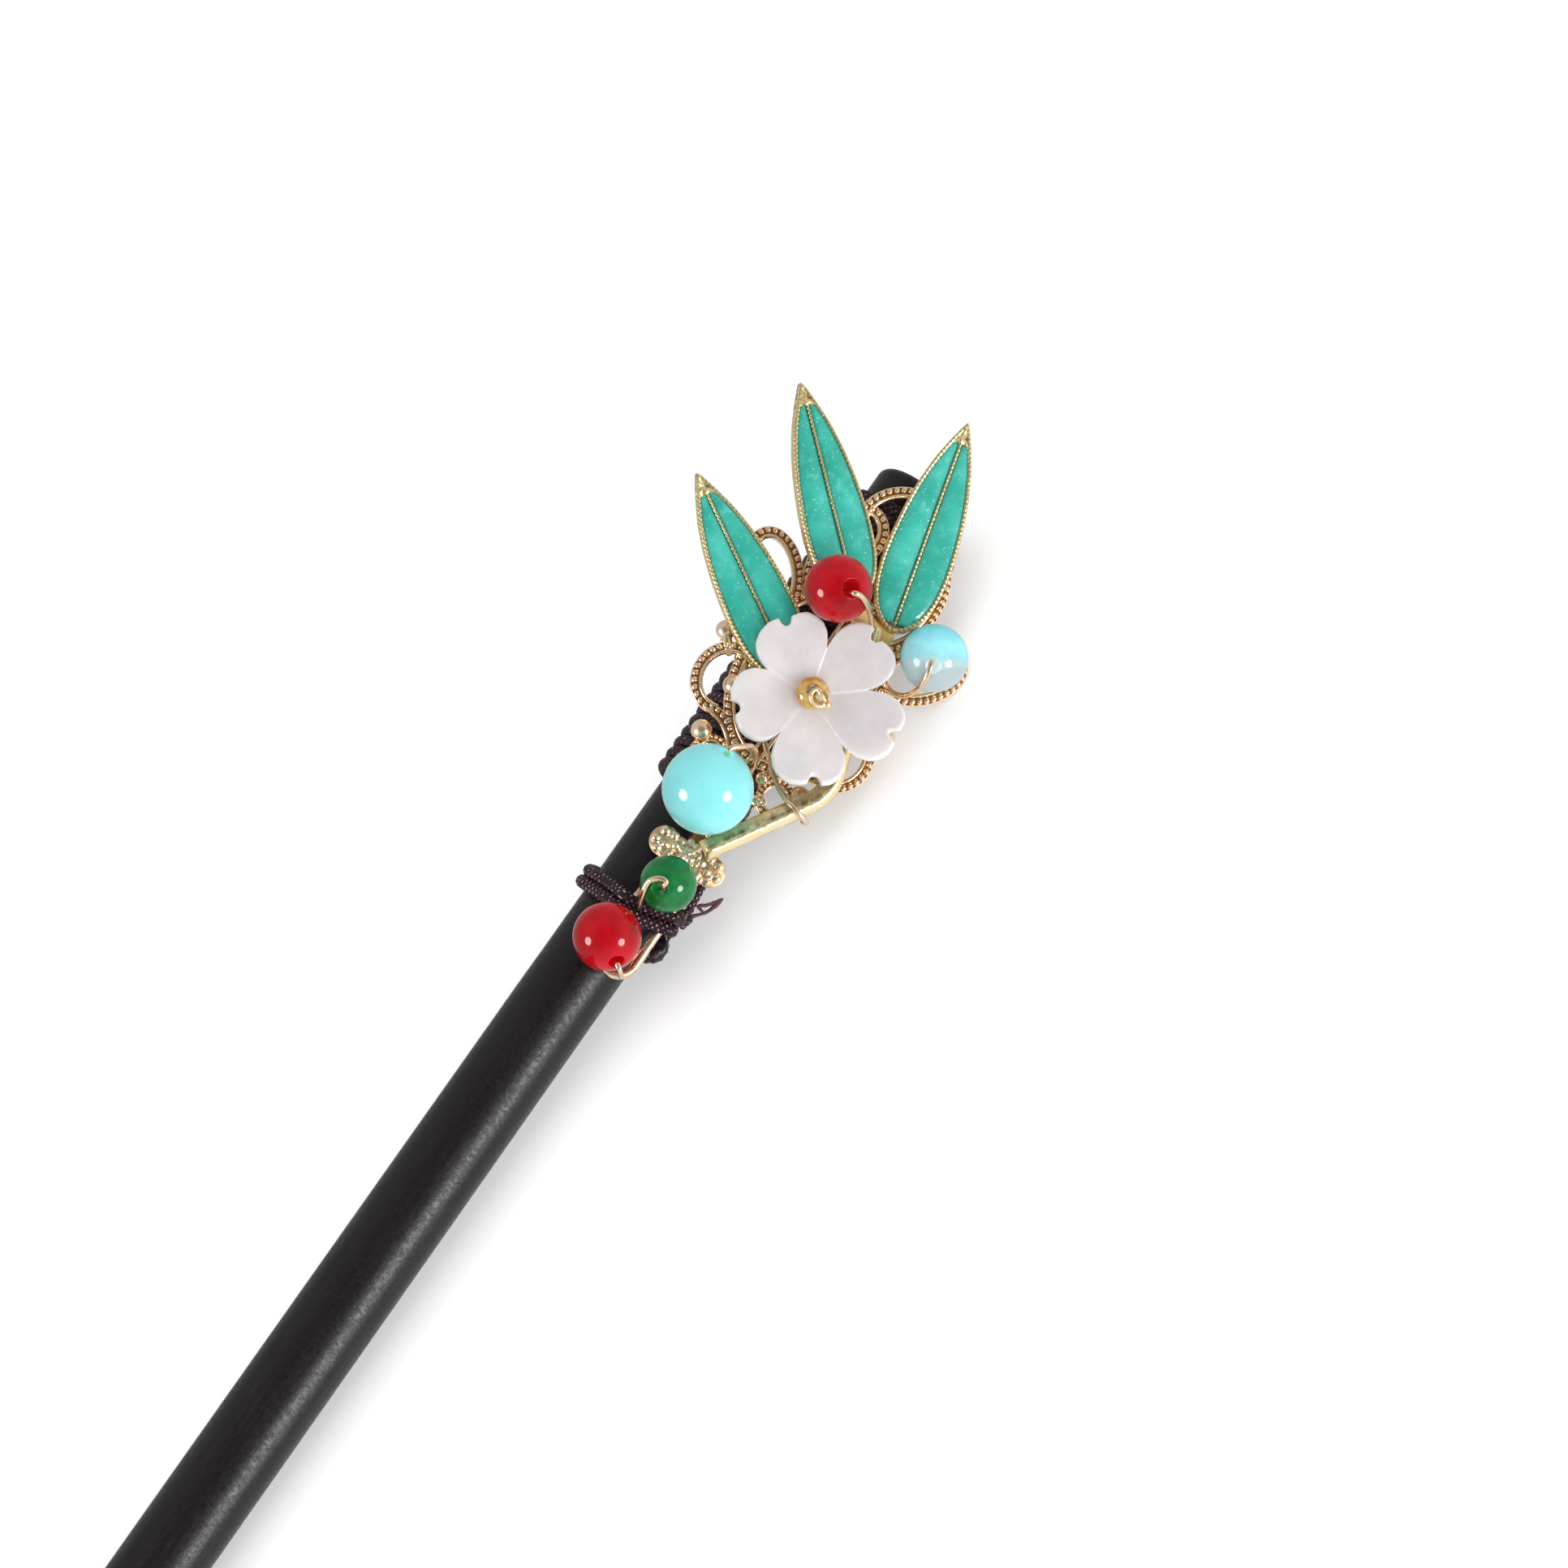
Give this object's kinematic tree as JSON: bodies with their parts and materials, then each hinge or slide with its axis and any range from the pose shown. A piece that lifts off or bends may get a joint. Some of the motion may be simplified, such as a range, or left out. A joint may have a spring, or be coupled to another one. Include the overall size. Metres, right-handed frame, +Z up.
{
  "type": "hair stick",
  "caption": "Dark wooden hair stick with a gilt openwork ornament tied to its head: enamelled leaves, a pearl blossom and coloured beads on wire.",
  "frame": {"origin": "centre of the whole on the surface that it lies on, as it lies by itself", "axes": "+X towards the head end along the stick, +Z up, +Y across"},
  "size_m": [0.1858, 0.0249, 0.0212],
  "materials": {
    "wood": "near-black brown, satin",
    "cord": "dark plum-brown braided cord",
    "rose_gilt": "rose-gold plated, polished",
    "gilt": "gold plated, polished",
    "enamel": "teal green with fine sparkle",
    "pearl": "mother-of-pearl, satin",
    "amber": "amber gold, polished",
    "turquoise_glass": "milky turquoise, polished",
    "red_glass": "deep red, polished",
    "aqua_glass": "pale aqua with clear streaks, polished",
    "green_stone": "mottled green, polished",
    "wire": "pale rose-gold plated wire"
  },
  "bodies": {
    "root": {"stick": "wood", "cord_winding": "cord", "cord_binding": "cord", "filigree_base": "rose_gilt", "leaf_frame": "gilt", "enamel_left_lower": "enamel", "enamel_left_upper": "enamel", "enamel_middle_lower": "enamel", "enamel_middle_upper": "enamel", "enamel_right_lower": "enamel", "enamel_right_upper": "enamel", "blossom": "pearl", "blossom_seed": "amber", "bead_turquoise": "turquoise_glass", "bead_red_upper": "red_glass", "bead_aqua": "aqua_glass", "bead_green": "green_stone", "bead_red_lower": "red_glass", "wire_turquoise": "wire", "wire_red_upper": "wire", "wire_aqua": "wire", "wire_green": "wire", "wire_red_lower": "wire", "wire_blossom": "wire", "wire_stem": "wire"}
  },
  "joints": []
}
